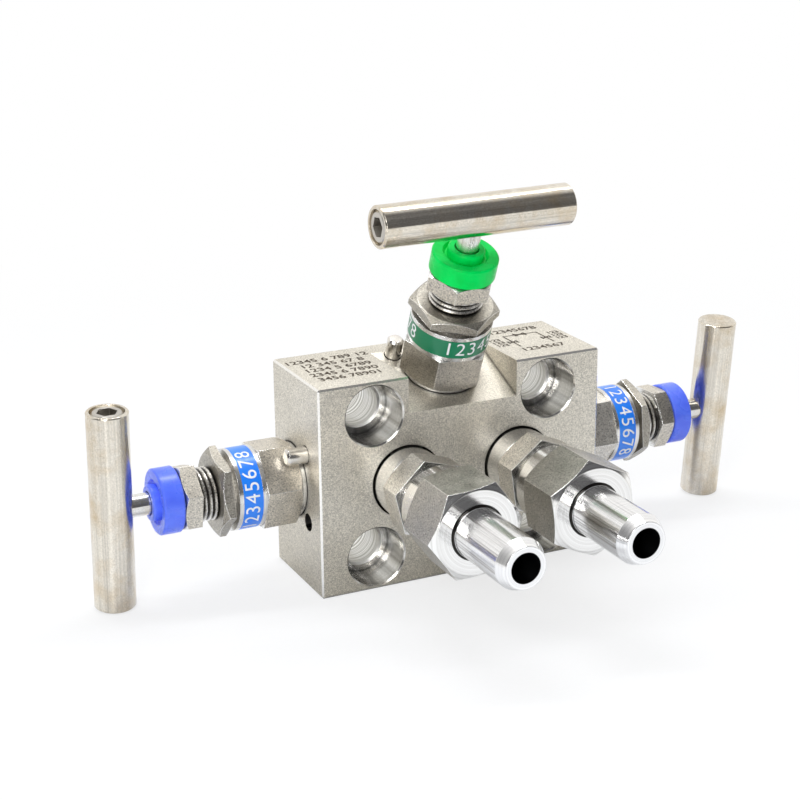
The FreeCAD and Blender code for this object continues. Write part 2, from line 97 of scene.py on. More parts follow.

# Tones of its bolt holes, and the painted shade inside the spare pin holes
BORE_TONES = ((0.60, 0.585, 0.56), (0.98, 0.975, 0.96))
BORE_SWEEPS = ((0.50, 0.49, 0.47), (1.12, 1.12, 1.11))
DRILLED_TONES = ((0.42, 0.41, 0.375), (0.98, 0.975, 0.95))
SPARE_HOLE_SHADE = (0.10, 0.095, 0.09)

# Tones of the hexagons and of the turned and drawn pieces
# Painted highlight on edges: the block's bevels, the hexagons' rounded edges and the step in each bolt hole
PAINTED_EDGE_HIGHLIGHT = (1.0, 0.99, 0.97)
# The bonnets are one steel; their three tones are lighter and darker as painted light and shade
BONNET_LIT_AND_SHADED_TONES = {"isolate_left": (0.75, 0.705, 0.625), "isolate_right": (0.95, 0.91, 0.84),
                "equalize": (0.59, 0.56, 0.51)}
LOCK_NUT_TONE = (0.475, 0.45, 0.40)
GLAND_TONE = (0.74, 0.70, 0.625)
CONNECTOR_TONE = (0.88, 0.845, 0.785)
UNION_NUT_TONE = (0.52, 0.50, 0.46)
HEXAGON_SPECKLES = ((0.56, 0.56, 0.56), (1.34, 1.33, 1.31))
HEXAGON_PIT = (0.36, 0.36, 0.36)
HEXAGON_TURNED_TONES = ((0.74, 0.73, 0.71), (0.95, 0.945, 0.93))
# Painted shade in the groove at the connector's foot
GROOVE_SHADE = (0.06, 0.055, 0.05)
# Painted shade under a gland's thread
UNDER_THREAD_SHADE = (0.05, 0.045, 0.04)
THREAD_CREST_TONES = ((0.66, 0.64, 0.60), (0.86, 0.84, 0.80))
# Painted shade in a thread's roots
THREAD_ROOT_SHADE = (0.04, 0.037, 0.034)
RING_TONE = (0.82, 0.81, 0.79)
INNER_TONE = (0.66, 0.65, 0.63)
SCREW_TONE = (0.60, 0.57, 0.52)
PIN_TONE = (0.86, 0.83, 0.78)
STEM_TONE = (0.84, 0.84, 0.83)
BAR_TONE = (0.79, 0.745, 0.665)
STAIN_FACTORS = (0.80, 0.70, 0.56)
BAR_SPECKLES = ((0.84, 0.83, 0.81), (1.10, 1.10, 1.09))

# Crevices: how open a place is, from and to, and its shade at both
CREVICE_SHADE = (0.40, 0.85, 0.35, 1.0)

# Edges, which get a painted highlight: how far a rounded normal has turned from the flat one,
# and the block's bevels, whose normals have no part larger than this
EDGE_TURNS = (0.004, 0.07)
EDGE_SLOPES = (0.80, 0.88)

# Share of the place along a drawn piece's axis that its streaks leave out, so they run along it
STREAK_STRETCH = 0.985

# Tones of the nipples
NIPPLE_TONES = ((0.82, 0.82, 0.83), (0.94, 0.94, 0.94))
NIPPLE_STREAK = (0.46, 0.445, 0.44)
# Painted shade in the nipple's bore
NIPPLE_BORE_SHADE = (0.012, 0.012, 0.013)
# Painted shade on the shank under the union nut and just out of it
NIPPLE_SHANK_SHADE = (0.035, 0.033, 0.03)

# Tones of plastic, films, ink, engraving and polymer. A plastic's last number is its shine.
PLASTICS = {"green": ((0.0, 0.76, 0.12), (0.0, 0.62, 0.08), 0.10),
            "blue": ((0.11, 0.20, 0.98), (0.08, 0.15, 0.94), 0.5)}
FILMS = {"green": ((0.0, 0.18, 0.075), (0.0, 0.21, 0.09)),
         "blue": ((0.015, 0.245, 0.96), (0.008, 0.20, 0.90))}
INK_TONES = ((0.80, 0.82, 0.84), (0.92, 0.93, 0.94))
ENGRAVING_TONES = ((0.028, 0.020, 0.013), (0.12, 0.09, 0.06))
POLYMER_TONES = ((0.80, 0.79, 0.76), (0.88, 0.87, 0.84))

# Radii between which one zone round a bolt hole fades into the next
HEAD_BORE_RADII = (8.8 * MM, 9.0 * MM)
SHANK_HOLE_RADII = (6.5 * MM, 6.7 * MM)
STEP_INNER_RADII = (6.05 * MM, 6.12 * MM)
STEP_OUTER_RADII = (6.65 * MM, 6.75 * MM)

# Depths under the block's faces between which a bore's finish begins
BORE_BEGIN = (0.02 * MM, 0.1 * MM)
SPARE_HOLE_BEGIN = (0.05 * MM, 0.3 * MM)

# Spare pin holes in the block's two sides: their place, and the radii where their painted shade ends
SPARE_HOLE_Y = -7.25 * MM
SPARE_HOLE_Z = 19.7 * MM
SPARE_HOLE_RADII = (2.6 * MM, 2.7 * MM)

# Heights from the block at which the turned parts of bonnet, connector and union nut end or begin, the groove
# at the connector's foot, painted dark as shade, and how softly one finish gives way to the next
BONNET_COLLAR_END = 1.2 * MM
CONNECTOR_COLLAR_END = 7.5 * MM
CONNECTOR_NECK = 16.3 * MM
CONNECTOR_GROOVE = 0.65 * MM
GROOVE_HALF_WIDTHS = (0.10 * MM, 0.16 * MM)
UNION_NUT_COLLAR_END = 25.0 * MM
FINISH_FADE = 0.05 * MM

# Nipple: where its bore begins, its thicker shank's radii and how far the shank leaves the nut.
# The bore, and the shank as far as it leaves the nut, are painted dark as shade.
NIPPLE_BORE_RADII = (4.1 * MM, 4.2 * MM)
SHANK_RADII = (7.02 * MM, 7.10 * MM)
SHANK_REACH = 0.75 * MM

# Gland thread: its profile as places along the pitch and heights over the root
GLAND_HEX_LENGTH = 5.0 * MM
THREAD_PITCH = 1.5 * MM
THREAD_ROOT = 7.0 * MM
THREAD_HEIGHT = 0.55 * MM
THREAD_SUNK = -0.05 * MM
THREAD_PROFILE = ((-0.42, THREAD_SUNK), (-0.08, THREAD_HEIGHT),
                  (0.08, THREAD_HEIGHT), (0.42, THREAD_SUNK))
THREAD_SHADE_RADII = (7.05 * MM, 7.40 * MM)
THREAD_FADE = 0.02 * MM
THREAD_STEPS = 48

# Label numerals: two like groups stand opposite each other round each film, the first of them
# with its middle at this angle in degrees. Every mark lies a little over its surface, and a
# digit's height is a share of its font's size.
LABEL_DIGITS = "12345678"
LABEL_ANGLES = {"isolate_left": -78.0, "isolate_right": 62.0, "equalize": 32.0}
NUMERAL_HEIGHT = 4.1 * MM
NUMERAL_PITCH = 3.4 * MM
MARK_LIFT = 0.03 * MM
DIGIT_SHARE = 0.7

# Marks on the block's top: rows of numerals on one side and a diagram on the other
MARKS_X = 30.0 * MM
MARK_WEIGHT = 0.07 * MM
MARK_ROWS = ("12345 6 789 12", "12 345 67 8", "1234 5 6789", "2345 6 7890", "3456 78901")
ROW_PITCH = 4.3 * MM
ROW_HEIGHT = 2.8 * MM
MIDDLE_ROW_Y = 1.0 * MM

# Diagram: half its width, the ends of its lines, its valve signs and its numerals
LINE_WIDTH = 0.45 * MM
DIAGRAM_HALF_WIDTH = 5.5 * MM
DIAGRAM_LOW_Y = -4.5 * MM
DIAGRAM_HIGH_Y = 6.0 * MM
LINE_SIGN_SIZE = 1.4 * MM
CROSS_SIGN_SIZE = 1.7 * MM
SIGN_SLOPE = 0.6
DIAGRAM_TITLES = (("12345678", 10.6 * MM), ("1234567", -8.0 * MM))
DIAGRAM_TITLE_HEIGHT = 2.8 * MM
SIDE_NUMERALS = "123"
SIDE_NUMERALS_GAP = 4.2 * MM
SIDE_NUMERALS_Y = (3.6 * MM, 0.9 * MM, -1.8 * MM)
SIDE_NUMERALS_HEIGHT = 1.9 * MM

# Length at each end of a T-bar in which its end faces' points are taken
BAR_END_BAND = 0.5 * MM

# A mix node's sockets by the kind of value: first, second and result
MIX_SOCKETS = {"RGBA": (6, 7, 2), "FLOAT": (2, 3, 0)}


def valve_foot(valve):
    """Point and outward axis where a valve's bonnet meets the block."""
    turn = joints[valve + "_turn"]
    return Vector(turn["pos_m"]), Vector(turn["axis"]).normalized()


def span(piece):
    """Lowest and highest place of a valve's piece along its axis, read from the left valve."""
    foot, _ = valve_foot("isolate_left")
    low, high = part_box("isolate_left_" + piece)
    return foot.x - high.x, foot.x - low.x


def radius(piece):
    """Outer radius of a valve's round piece, read from the left valve."""
    low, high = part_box("isolate_left_" + piece)
    return (high.z - low.z) / 2


def thread_span():
    """Where a gland's thread shows, from the lock nut to the gland's hexagon."""
    return span("lock_nut")[1], span("dust_cap")[0] - GLAND_HEX_LENGTH


def bolt_pattern():
    """Half pitches and middle height of the block's bolt holes."""
    mount = [m for m in frame["record"]["mounts"] if m["name"] == "transmitter_bolts"][0]
    half_x = mount["dims"]["spacing_x_mm"] * MM / 2
    half_z = mount["dims"]["spacing_y_mm"] * MM / 2
    return half_x, half_z, mount["pos_m"][2]


def handle_line(valve):
    """Middle of a valve's T-bar and the direction along it, from the points of its end faces."""
    bar = nodes[valve + "_handle_bar"].data
    _, axis = valve_foot(valve)
    points = [vertex.co for vertex in bar.vertices]
    middle = sum(points, Vector()) / len(points)
    line = max(points, key=lambda point: (point - middle).length) - middle
    line -= axis * line.dot(axis)
    way = line.normalized()
    places = [point.dot(way) for point in points]
    starts = [point for point in points if point.dot(way) < min(places) + BAR_END_BAND]
    ends = [point for point in points if point.dot(way) > max(places) - BAR_END_BAND]
    start = sum(starts, Vector()) / len(starts)
    end = sum(ends, Vector()) / len(ends)
    return (start + end) / 2, (end - start).normalized()


# Materials


class Graph:
    """Short calls for building the nodes of one material or world."""

    def __init__(self, owner, output="ShaderNodeOutputMaterial"):
        owner.use_nodes = True
        self.owner = owner
        self.tree = owner.node_tree
        self.tree.nodes.clear()
        self.output = self.node(output)
        coordinates = self.node("ShaderNodeTexCoord").outputs
        self.place = coordinates["Object"]
        self.normal = coordinates["Normal"]
        self.way = coordinates["Generated"]

    def node(self, kind, **settings):
        """New node with these settings."""
        made = self.tree.nodes.new(kind)
        for key, value in settings.items():
            setattr(made, key, value)
        return made

    def feed(self, socket, value):
        """Link an output to a socket, or set the socket to a plain value."""
        if isinstance(value, bpy.types.NodeSocket):
            self.tree.links.new(value, socket)
        else:
            socket.default_value = value

    def feed_all(self, made, values):
        """Feed a node's enabled sockets in their order, and give its first enabled output."""
        sockets = [socket for socket in made.inputs if socket.enabled]
        for socket, value in zip(sockets, values):
            self.feed(socket, value)
        return [socket for socket in made.outputs if socket.enabled][0]

    def math(self, operation, *values):
        """Result of a sum on numbers."""
        return self.feed_all(self.node("ShaderNodeMath", operation=operation), values)

    def times(self, first, second):
        """Product of two numbers."""
        return self.math("MULTIPLY", first, second)

    def less(self, first, second):
        """Difference of two numbers."""
        return self.math("SUBTRACT", first, second)

    def vector(self, operation, *values):
        """Result of a sum on vectors."""
        return self.feed_all(self.node("ShaderNodeVectorMath", operation=operation), values)

    def join(self, x, y, z):
        """Vector with these three parts."""
        return self.feed_all(self.node("ShaderNodeCombineXYZ"), (x, y, z))

    def split(self, vector):
        """The three parts of a vector."""
        made = self.node("ShaderNodeSeparateXYZ")
        self.feed(made.inputs[0], vector)
        return made.outputs

    def noise(self, place, scale, detail=2.0, rough=0.5):
        """Soft noise with about this many features per metre."""
        made = self.node("ShaderNodeTexNoise")
        self.feed(made.inputs["Vector"], place)
        made.inputs["Scale"].default_value = scale
        made.inputs["Detail"].default_value = detail
        made.inputs["Roughness"].default_value = rough
        return made.outputs["Fac"]

    def fit(self, value, low, high, to_low=0.0, to_high=1.0, smooth=False):
        """Value mapped from one range to another and held inside it."""
        made = self.node("ShaderNodeMapRange", interpolation_type="SMOOTHSTEP" if smooth else "LINEAR")
        self.feed(made.inputs["Value"], value)
        made.inputs["From Min"].default_value = low
        made.inputs["From Max"].default_value = high
        made.inputs["To Min"].default_value = to_low
        made.inputs["To Max"].default_value = to_high
        return made.outputs["Result"]

    def below(self, value, limits):
        """1 under the lower limit, 0 over the upper one."""
        return self.fit(value, limits[1], limits[0])

    def above(self, value, limits):
        """0 under the lower limit, 1 over the upper one."""
        return self.fit(value, limits[0], limits[1])

    def mix(self, factor, first, second):
        """Colour or number between two, by a factor."""
        colour = any(isinstance(v, tuple) or getattr(v, "type", "") == "RGBA" for v in (first, second))
        kind = "RGBA" if colour else "FLOAT"
        made = self.node("ShaderNodeMix", data_type=kind)
        first_socket, second_socket, result = MIX_SOCKETS[kind]
        self.feed(made.inputs[0], factor)
        self.feed(made.inputs[first_socket], rgba(first))
        self.feed(made.inputs[second_socket], rgba(second))
        return made.outputs[result]

    def bump(self, height, distance, strength, base=None):
        """Normal with relief from a height."""
        made = self.node("ShaderNodeBump")
        self.feed(made.inputs["Strength"], strength)
        made.inputs["Distance"].default_value = distance
        self.feed(made.inputs["Height"], height)
        if base is not None:
            self.feed(made.inputs["Normal"], base)
        return made.outputs["Normal"]

    def rounded(self, radius_m):
        """Normal with the piece's edges rounded."""
        made = self.node("ShaderNodeBevel", samples=8)
        made.inputs["Radius"].default_value = radius_m
        return made.outputs["Normal"]

    def edges(self, normal):
        """1 on rounded edges and 0 elsewhere."""
        flat = self.node("ShaderNodeNewGeometry").outputs["True Normal"]
        match = self.vector("DOT_PRODUCT", normal, flat)
        return self.above(self.less(1.0, match), EDGE_TURNS)

    def crevice_painted_shade(self, colour, reach_m):
        """Colour darkened by painted shade in the crevices between pieces, by how little open space is round them.
        """
        made = self.node("ShaderNodeAmbientOcclusion", samples=8)
        made.inputs["Distance"].default_value = reach_m
        shade = self.fit(made.outputs["AO"], *CREVICE_SHADE)
        return self.vector("SCALE", colour, shade)

    def show(self, shader):
        """Make a shader the surface, and give what the graph belongs to."""
        self.feed(self.output.inputs["Surface"], shader)
        return self.owner

    def finish(self, **sockets):
        """Principled surface with these sockets."""
        surface = self.node("ShaderNodeBsdfPrincipled")
        for name, value in sockets.items():
            self.feed(surface.inputs[name.replace("_", " ")], rgba(value))
        return self.show(surface.outputs[0])


def rgba(value):
    """Four-part colour from a three-part one. Anything else stays as it is."""
    return value + (1.0,) if isinstance(value, tuple) and len(value) == 3 else value


def tinted(tone, factor):
    """Tone made darker or lighter by a factor."""
    return tuple(part * factor for part in tone)


def material_graph(name):
    """Graph of a new material."""
    return Graph(bpy.data.materials.new(name))


def along(g, foot, axis):
    """Distance along an axis and from it, and how far the surface faces along it."""
    offset = g.vector("SUBTRACT", g.place, tuple(foot))
    height = g.vector("DOT_PRODUCT", offset, tuple(axis))
    length = g.vector("LENGTH", offset)
    square = g.less(g.times(length, length), g.times(height, height))
    distance = g.math("SQRT", g.math("MAXIMUM", square, 0.0))
    facing = g.math("ABSOLUTE", g.vector("DOT_PRODUCT", g.normal, tuple(axis)))
    return height, distance, facing


def to_world(g, vector):
    """Direction turned from the object's frame into the world's."""
    made = g.node("ShaderNodeVectorTransform", vector_type="VECTOR", convert_from="OBJECT",
                  convert_to="WORLD")
    g.feed(made.inputs[0], vector)
    return made.outputs[0]


def lathe(g, foot, axis):
    """Tangent across the turning marks: along the axis on round faces, radial on end faces."""
    offset = g.vector("SUBTRACT", g.place, tuple(foot))
    around = g.vector("CROSS_PRODUCT", tuple(axis), offset)
    return to_world(g, g.vector("CROSS_PRODUCT", g.normal, around))


def streaks(g, foot, axis, scale, detail=3.0):
    """Noise that changes round an axis but hardly along it."""
    offset = g.vector("SUBTRACT", g.place, tuple(foot))
    line = g.vector("DOT_PRODUCT", offset, tuple(axis))
    flattened = g.vector("SCALE", tuple(axis), g.times(line, STREAK_STRETCH))
    return g.noise(g.vector("SUBTRACT", offset, flattened), scale, detail, 0.6)


def rings(g, height, distance, scale):
    """Turning marks: noise along the axis and outward from it."""
    made = g.node("ShaderNodeTexNoise", noise_dimensions="1D")
    g.feed(made.inputs["W"], g.math("ADD", distance, height))
    made.inputs["Scale"].default_value = scale
    made.inputs["Detail"].default_value = 3.0
    made.inputs["Roughness"].default_value = 0.6
    return made.outputs["Fac"]


def block_flats(g, grain, cloud, height):
    """Colour of the block's blasted faces: clouded, blotched, speckled, with painted shade darker near the foot.
    """
    blotch = g.noise(g.place, 170.0, 3.0, 0.6)
    pits = g.fit(g.noise(g.place, 2700.0, 1.0), 0.64, 0.76)
    base = g.mix(g.fit(cloud, 0.35, 0.65), *BLOCK_TONES)
    base = g.mix(g.fit(blotch, 0.42, 0.72, 0.0, 0.3), base, BLOCK_BLOTCH)
    # Painted shade: the faces darken towards the foot
    base = g.vector("MULTIPLY", base, g.mix(height, BLOCK_FOOT_SHADE, (1.0, 1.0, 1.0)))
    speckle = g.mix(g.fit(grain, 0.28, 0.72), *BLOCK_SPECKLES)
    speckle = g.mix(pits, speckle, BLOCK_PIT)
    return g.vector("MULTIPLY", base, speckle)


def block_bores(g, marks, grooves, sweep, distance, narrow):
    """Colour of the bolt holes: swept head bore, drilled shank hole and a painted highlight on the step between.
    """
    bored = g.mix(g.fit(marks, 0.3, 0.7), *BORE_TONES)
    bored = g.vector("MULTIPLY", bored, g.mix(g.fit(sweep, 0.35, 0.65), *BORE_SWEEPS))
    drilled = g.mix(g.fit(grooves, 0.36, 0.64), *DRILLED_TONES)
    # Painted highlight on the step between head bore and shank hole
    step = g.times(g.above(distance, STEP_INNER_RADII), g.below(distance, STEP_OUTER_RADII))
    return g.mix(step, g.mix(narrow, bored, drilled), PAINTED_EDGE_HIGHLIGHT)


def spare_holes(g, x, y, z, side_x):
    """1 inside the spare pin holes of the block's two sides, where shade is painted."""
    offset = g.join(0.0, g.less(y, SPARE_HOLE_Y), g.less(z, SPARE_HOLE_Z))
    round_hole = g.below(g.vector("LENGTH", offset), SPARE_HOLE_RADII)
    shallow, deep = SPARE_HOLE_BEGIN
    return g.times(round_hole, g.below(g.math("ABSOLUTE", x), (side_x - deep, side_x - shallow)))


def block_steel():
    """Bead-blasted block with turned bores."""
    g = material_graph("block_steel")
    half_x, half_z, middle_z = bolt_pattern()
    low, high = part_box("manifold_body")
    x, y, z = g.split(g.place)
    lift = g.less(z, middle_z)
    across = g.less(g.math("ABSOLUTE", x), half_x)
    upright = g.less(g.math("ABSOLUTE", lift), half_z)
    distance = g.math("SQRT", g.math("ADD", g.times(across, across), g.times(upright, upright)))
    shallow, deep = BORE_BEGIN
    inside = g.times(g.below(distance, HEAD_BORE_RADII), g.above(y, (low.y + shallow, low.y + deep)))
    inside = g.times(inside, g.below(y, (high.y - deep, high.y - shallow)))
    narrow = g.below(distance, SHANK_HOLE_RADII)
    slopes = g.split(g.vector("ABSOLUTE", g.normal))
    steepest = g.math("MAXIMUM", g.math("MAXIMUM", slopes[0], slopes[1]), slopes[2])
    edge = g.times(g.below(steepest, EDGE_SLOPES), g.less(1.0, inside))
    grain = g.noise(g.place, 3300.0, 2.0, 0.6)
    cloud = g.noise(g.place, 42.0, 4.0, 0.6)
    marks = rings(g, y, distance, 2400.0)
    grooves = rings(g, y, distance, 1250.0)
    spoke = g.join(g.math("DIVIDE", across, distance), g.math("DIVIDE", upright, distance), 0.0)
    sweep = g.noise(spoke, 2.6, 3.0, 0.6)
    flats = block_flats(g, grain, cloud, g.fit(z, low.z, high.z * BLOCK_FOOT_SHARE, smooth=True))
    # Painted highlight on the block's bevels
    flats = g.mix(g.times(edge, 0.75), flats, PAINTED_EDGE_HIGHLIGHT)
    steel = g.mix(inside, flats, block_bores(g, marks, grooves, sweep, distance, narrow))
    # The spare pin holes are painted dark as shade
    steel = g.mix(spare_holes(g, x, y, z, high.x), steel, SPARE_HOLE_SHADE)
    plain = g.less(1.0, g.math("MAXIMUM", edge, inside))
    relief = g.bump(grain, 0.05 * MM, g.times(plain, 0.9))
    normal = g.bump(g.mix(narrow, marks, grooves), 0.03 * MM, g.times(inside, 0.6), relief)
    rough = g.mix(inside, g.fit(cloud, 0.3, 0.7, 0.42, 0.50), g.mix(narrow, 0.17, 0.32))
    rough = g.mix(edge, rough, 0.2)
    outward = g.join(g.times(across, g.math("SIGN", x)), 0.0, g.times(upright, g.math("SIGN", lift)))
    around = g.vector("CROSS_PRODUCT", (0.0, 1.0, 0.0), outward)
    turned = to_world(g, g.vector("CROSS_PRODUCT", g.normal, around))
    wide = g.times(inside, g.less(1.0, narrow))
    # Painted shade darkens the block's colour in its crevices
    return g.finish(Base_Color=g.crevice_painted_shade(steel, 1.5 * MM), Metallic=1.0, Roughness=rough, Normal=normal,
                    Anisotropic=g.times(wide, 0.7), Tangent=turned)


def hexagon_steel(name, foot, axis, tone, collar_end=0.0, end_faces=True, groove=None, thread=None,
                  neck=None, polish=0.24):
    """Satin hexagon flats with a turned collar, neck and end faces.

    The collar's end, the neck's start, the groove's middle and the thread's two ends are heights
    along the axis, and polish is how rough the turned parts are.
    """
    g = material_graph(name)
    height, distance, facing = along(g, foot, axis)
    turned = g.below(height, (collar_end - FINISH_FADE, collar_end))
    if end_faces:
        turned = g.math("MAXIMUM", turned, g.fit(facing, 0.1, 0.2))
    if neck is not None:
        turned = g.math("MAXIMUM", turned, g.above(height, (neck - FINISH_FADE, neck)))
    grain = g.noise(g.place, 2600.0, 2.0, 0.65)
    pits = g.fit(g.noise(g.place, 2200.0, 1.0), 0.62, 0.74)
    cloud = g.noise(g.place, 150.0, 4.0, 0.6)
    marks = rings(g, height, distance, 2700.0)
    rounded = g.rounded(0.22 * MM)
    edge = g.edges(rounded)
    flat = g.mix(g.fit(cloud, 0.3, 0.7), tinted(tone, 0.84), tinted(tone, 1.06))
    speckle = g.mix(g.fit(grain, 0.3, 0.72), *HEXAGON_SPECKLES)
    speckle = g.mix(pits, speckle, HEXAGON_PIT)
    bright = g.mix(g.fit(marks, 0.3, 0.7), *HEXAGON_TURNED_TONES)
    colour = g.mix(turned, g.vector("MULTIPLY", flat, speckle), bright)
    # Painted highlight on the rounded edges
    colour = g.mix(edge, colour, PAINTED_EDGE_HIGHLIGHT)
    # The groove is painted dark as shade
    if groove is not None:
        off = g.math("ABSOLUTE", g.less(height, groove))
        colour = g.mix(g.below(off, GROOVE_HALF_WIDTHS), colour, GROOVE_SHADE)
    # The gland's core under its thread is painted dark as shade
    if thread is not None:
        start, end = thread
        begun = g.above(height, (start - THREAD_FADE, start))
        zone = g.times(begun, g.below(height, (end - THREAD_FADE, end)))
        colour = g.mix(zone, colour, UNDER_THREAD_SHADE)
    plain = g.less(1.0, g.math("MAXIMUM", edge, turned))
    normal = g.bump(grain, 0.05 * MM, g.times(plain, 0.85), rounded)
    normal = g.bump(g.times(marks, turned), 0.014 * MM, 0.5, normal)
    rough = g.mix(turned, g.fit(cloud, 0.3, 0.7, 0.34, 0.46), polish)
    rough = g.mix(edge, rough, 0.2)
    # Painted shade darkens the hexagon's colour in its crevices
    return g.finish(Base_Color=g.crevice_painted_shade(colour, 1.2 * MM), Metallic=1.0, Roughness=rough, Normal=normal,
                    Anisotropic=g.times(turned, 0.8), Tangent=lathe(g, foot, axis))


def turned_steel(name, foot, axis, tone, rough):
    """Bright turned steel with faint machining marks."""
    g = material_graph(name)
    height, distance, _ = along(g, foot, axis)
    cloud = g.noise(g.place, 260.0, 3.0)
    marks = rings(g, height, distance, 3000.0)
    colour = g.mix(g.fit(marks, 0.3, 0.7), tinted(tone, 0.80), tone)
    normal = g.bump(marks, 0.008 * MM, 0.4, g.rounded(0.15 * MM))
    roughness = g.fit(cloud, 0.2, 0.8, rough * 0.8, rough * 1.3)
    return g.finish(Base_Color=colour, Metallic=1.0, Roughness=roughness, Normal=normal,
                    Anisotropic=0.75, Tangent=lathe(g, foot, axis))


def thread_steel(valve, foot, axis):
    """Thread with bright crests and roots painted dark as shade."""
    g = material_graph(valve + "_thread_steel")
    _, distance, _ = along(g, foot, axis)
    grain = g.noise(g.place, 1800.0, 2.0)
    crest = g.mix(g.fit(grain, 0.3, 0.7), *THREAD_CREST_TONES)
    # Roots painted dark as shade, crests bright
    colour = g.mix(g.above(distance, THREAD_SHADE_RADII), THREAD_ROOT_SHADE, crest)
    return g.finish(Base_Color=colour, Metallic=1.0, Roughness=g.fit(grain, 0.3, 0.7, 0.22, 0.36))


def plain_steel(name, tone, rough):
    """Smooth steel of small pieces that lie in several directions."""
    g = material_graph(name)
    cloud = g.noise(g.place, 320.0, 3.0)
    colour = g.mix(g.fit(cloud, 0.3, 0.7), tinted(tone, 0.78), tone)
    normal = g.bump(g.noise(g.place, 1500.0, 2.0), 0.01 * MM, 0.4, g.rounded(0.2 * MM))
    roughness = g.fit(cloud, 0.2, 0.8, rough * 0.8, rough * 1.3)
    return g.finish(Base_Color=colour, Metallic=1.0, Roughness=roughness, Normal=normal)


def drawn_steel(name, foot, axis, tone, rough, streak, spread):
    """Bright bar with fine lines drawn along its axis.

    Streak is the lines' strength, and spread is how far they stretch a reflection.
    """
    g = material_graph(name)
    lines = streaks(g, foot, axis, 2100.0)
    bands = streaks(g, foot, axis, 620.0, 2.0)
    cloud = g.noise(g.place, 120.0, 4.0, 0.6)
    specks = g.noise(g.place, 2700.0, 2.0, 0.6)
    shade = g.mix(g.fit(lines, 0.3, 0.7), tinted(tone, 1 - 0.36 * streak), tone)
    shade = g.mix(g.fit(bands, 0.4, 0.7, 0.0, 0.7), shade, tinted(tone, 1.16))
    stain = tuple(part * factor for part, factor in zip(tone, STAIN_FACTORS))
    colour = g.mix(g.fit(cloud, 0.45, 0.75), shade, stain)
    colour = g.vector("MULTIPLY", colour, g.mix(g.fit(specks, 0.3, 0.7), *BAR_SPECKLES))
    normal = g.bump(lines, 0.010 * MM * streak, 0.5, g.rounded(0.2 * MM))
    roughness = g.fit(g.math("ADD", bands, cloud), 0.7, 1.3, rough * 0.8, rough * 1.25)
    return g.finish(Base_Color=colour, Metallic=1.0, Roughness=roughness, Normal=normal,
                    Anisotropic=spread, Tangent=lathe(g, foot, axis))


def nipple_steel(side):
    """Polished tube with painted shade in its bore."""
    g = material_graph("nipple_steel_" + side)
    low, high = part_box("weld_nipple_" + side)
    foot = Vector(((low.x + high.x) / 2, high.y, (low.z + high.z) / 2))
    height, distance, facing = along(g, foot, PROCESS_WAY)
    bore = g.below(distance, NIPPLE_BORE_RADII)
    marks = rings(g, height, distance, 2200.0)
    cloud = g.noise(g.place, 160.0, 3.0)
    drawn = g.times(streaks(g, foot, PROCESS_WAY, 1300.0), g.fit(facing, 0.35, 0.15))
    bright = g.mix(g.fit(marks, 0.35, 0.65), *NIPPLE_TONES)
    bright = g.mix(g.fit(drawn, 0.52, 0.66, 0.0, 0.85), bright, NIPPLE_STREAK)
    # The bore is painted near black as shade
    colour = g.mix(bore, bright, NIPPLE_BORE_SHADE)
    # The shank under the nut and just out of it is painted dark as shade
    shank_end = high.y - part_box("union_nut_" + side)[0].y + SHANK_REACH
    shank_shade_zone = g.below(height, (shank_end - FINISH_FADE, shank_end))
    colour = g.mix(g.times(g.above(distance, SHANK_RADII), shank_shade_zone), colour, NIPPLE_SHANK_SHADE)
    normal = g.bump(marks, 0.010 * MM, 0.5, g.rounded(0.25 * MM))
    rough = g.mix(bore, g.fit(cloud, 0.3, 0.7, 0.13, 0.19), 0.45)
    return g.finish(Base_Color=colour, Metallic=1.0, Roughness=rough, Normal=normal,
                    Anisotropic=0.7, Tangent=lathe(g, foot, PROCESS_WAY))


def cap_plastic(name, tone, deep, level):
    """Moulded plastic with a soft skin, slight clouding and this level of shine."""
    g = material_graph(name)
    cloud = g.noise(g.place, 180.0, 3.0)
    skin = g.noise(g.place, 1400.0, 3.0)
    colour = g.mix(g.fit(cloud, 0.35, 0.7), tone, deep)
    normal = g.bump(skin, 0.02 * MM, 0.35, g.rounded(0.35 * MM))
    rough = g.fit(cloud, 0.3, 0.7, 0.22, 0.34)
    return g.finish(Base_Color=colour, Roughness=rough, Normal=normal, Specular_IOR_Level=level,
                    Subsurface_Weight=0.08, Subsurface_Scale=0.001)


def film(name, tone, deep):
    """Printed film under a clear gloss coat."""
    g = material_graph(name)
    cloud = g.noise(g.place, 90.0, 2.0)
    colour = g.mix(g.fit(cloud, 0.35, 0.65), tone, deep)
    normal = g.bump(g.noise(g.place, 900.0, 2.0), 0.004 * MM, 0.3)
    return g.finish(Base_Color=colour, Roughness=g.fit(cloud, 0.3, 0.7, 0.28, 0.4), Normal=normal,
                    Coat_Weight=0.3, Coat_Roughness=0.15)


def ink():
    """White ink of the numerals."""
    g = material_graph("numeral_ink")
    colour = g.mix(g.fit(g.noise(g.place, 700.0, 2.0), 0.3, 0.7), *INK_TONES)
    return g.finish(Base_Color=colour, Roughness=0.45)


def engraving():
    """Dark, slightly uneven engraved line."""
    g = material_graph("engraving")
    colour = g.mix(g.fit(g.noise(g.place, 1300.0, 3.0), 0.35, 0.65), *ENGRAVING_TONES)
    return g.finish(Base_Color=colour, Roughness=0.7, Metallic=0.3)


def polymer():
    """White sealing polymer."""
    g = material_graph("seal_polymer")
    colour = g.mix(g.fit(g.noise(g.place, 400.0, 2.0), 0.3, 0.7), *POLYMER_TONES)
    return g.finish(Base_Color=colour, Roughness=0.5)


def assign(node, material):
    """Give a CAD node its material."""
    target = nodes[node]
    target.data.materials.clear()
    target.data.materials.append(material)


